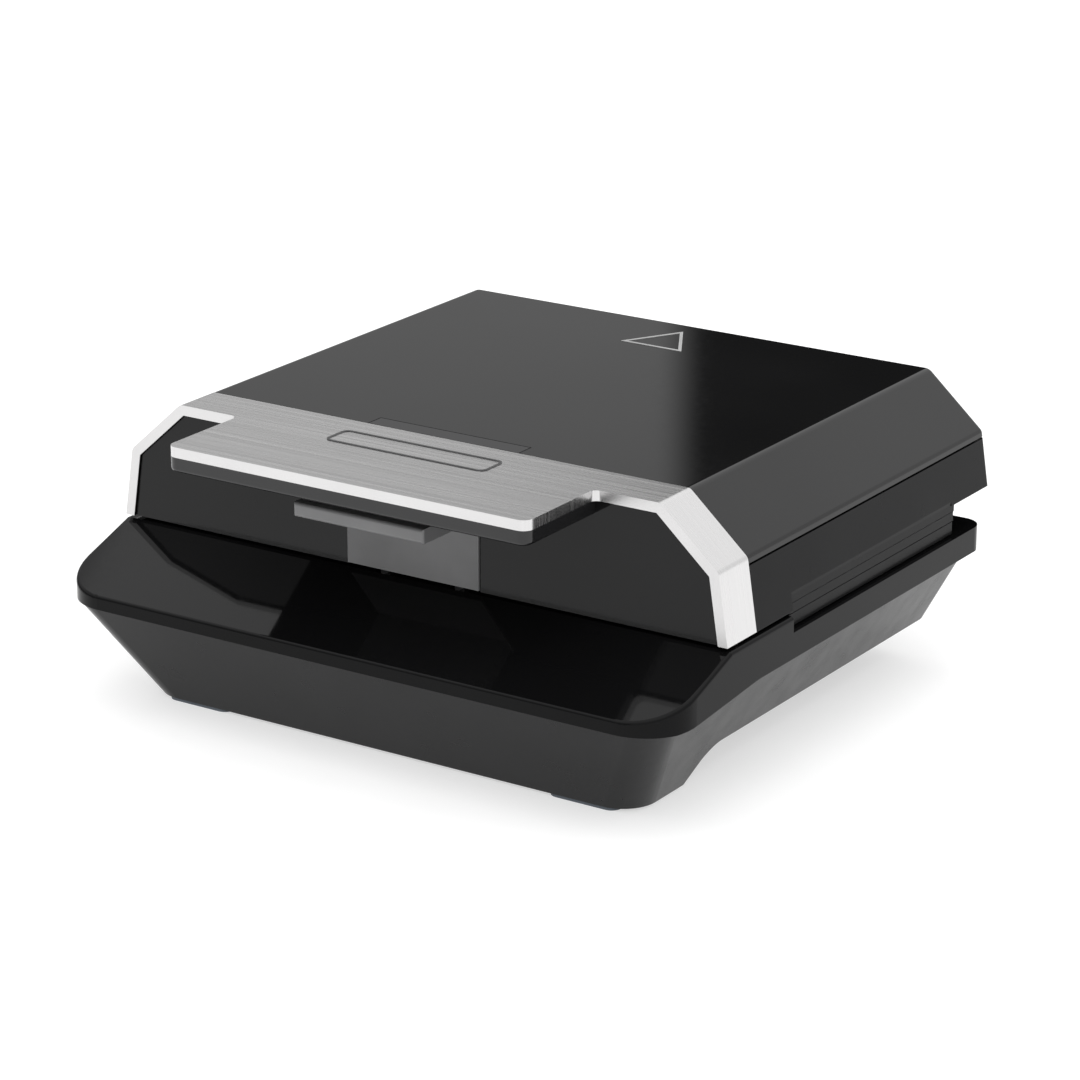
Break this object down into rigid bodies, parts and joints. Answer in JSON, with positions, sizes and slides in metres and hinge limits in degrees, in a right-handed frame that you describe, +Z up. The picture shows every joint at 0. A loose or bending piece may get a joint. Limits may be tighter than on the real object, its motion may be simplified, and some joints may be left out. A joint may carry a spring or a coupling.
{
  "type": "waffle maker",
  "caption": "Low box-shaped waffle maker with a hinged lid, a brushed steel front hoop with a flat handle plate, a latch lever and a flared base with a sloping front.",
  "frame": {"origin": "middle of the bounding box at the floor, under the feet", "axes": "+X to the right seen from the front, +Y to the back, +Z up"},
  "size_m": [0.26, 0.2336, 0.1067],
  "materials": {
    "shell_satin": "satin",
    "deck_gloss": "gloss",
    "lid_gloss": "gloss",
    "lid_satin": "satin",
    "panel_gloss": "gloss",
    "brushed_steel": "brushed",
    "grip_plastic": "satin",
    "latch_grey": "satin",
    "coated_plate": "satin",
    "pan_metal": "satin",
    "heater_steel": "satin",
    "bracket_steel": "satin",
    "pin_steel": "polished",
    "screw_steel": "satin",
    "gland_rubber": "matte",
    "foot_rubber": "matte",
    "terminal_plastic": "satin",
    "lead_sleeve": "matte",
    "window_dark": "gloss",
    "lamp_red": "gloss",
    "lamp_green": "gloss",
    "board_green": "satin",
    "badge_dark": "satin",
    "mark_grey": "satin"
  },
  "bodies": {
    "base": {"base_deck": "deck_gloss", "base_shell": "shell_satin", "bottom_cover": "shell_satin", "cord_gland": "gland_rubber", "cover_screws_front": "screw_steel", "cover_screws_rear": "screw_steel", "foot_front_left": "foot_rubber", "foot_front_right": "foot_rubber", "foot_rear_left": "foot_rubber", "foot_rear_right": "foot_rubber", "fuse_lead": "lead_sleeve", "hinge_bracket_left": "bracket_steel", "hinge_bracket_right": "bracket_steel", "hinge_pin_left": "pin_steel", "hinge_pin_right": "pin_steel", "hinge_screws": "screw_steel", "latch_catch": "bracket_steel", "lower_element_clips": "bracket_steel", "lower_heating_element": "heater_steel", "lower_plate_screws": "screw_steel", "lower_reflector": "pan_metal", "lower_waffle_plate": "coated_plate", "reflector_screws": "screw_steel", "terminal_block": "terminal_plastic", "thermal_fuse": "pin_steel", "thermostat": "pin_steel"},
    "lid": {"badge_outline": "badge_dark", "front_panel": "panel_gloss", "handle_grip": "grip_plastic", "indicator_window": "window_dark", "lamp_board": "board_green", "latch_pin": "pin_steel", "latch_spring": "pin_steel", "lid_hinge_arm_left": "bracket_steel", "lid_hinge_arm_right": "bracket_steel", "lid_side_frame": "lid_satin", "lid_top_cover": "lid_gloss", "power_lamp": "lamp_red", "ready_lamp": "lamp_green", "steel_trim": "brushed_steel", "top_mark": "mark_grey", "upper_element_clips": "bracket_steel", "upper_heating_element": "heater_steel", "upper_reflector": "pan_metal", "upper_waffle_plate": "coated_plate", "lid_screws": "screw_steel", "upper_plate_screws": "screw_steel", "hinge_arm_screws": "screw_steel"},
    "latch": {"latch_lever": "latch_grey"}
  },
  "joints": [
    {"name": "lid_hinge", "type": "hinge", "parent": "base", "child": "lid", "pos_m": [0, 0.10625, 0.064], "axis": [-1, 0, 0], "range_deg": [0, 100]},
    {"name": "latch_pivot", "type": "hinge", "parent": "lid", "child": "latch", "pos_m": [0, -0.06675, 0.092], "axis": [-1, 0, 0], "range_deg": [0, 6.5], "stiffness_Nm_per_rad": 0.05, "springref_deg": -11.46}
  ]
}
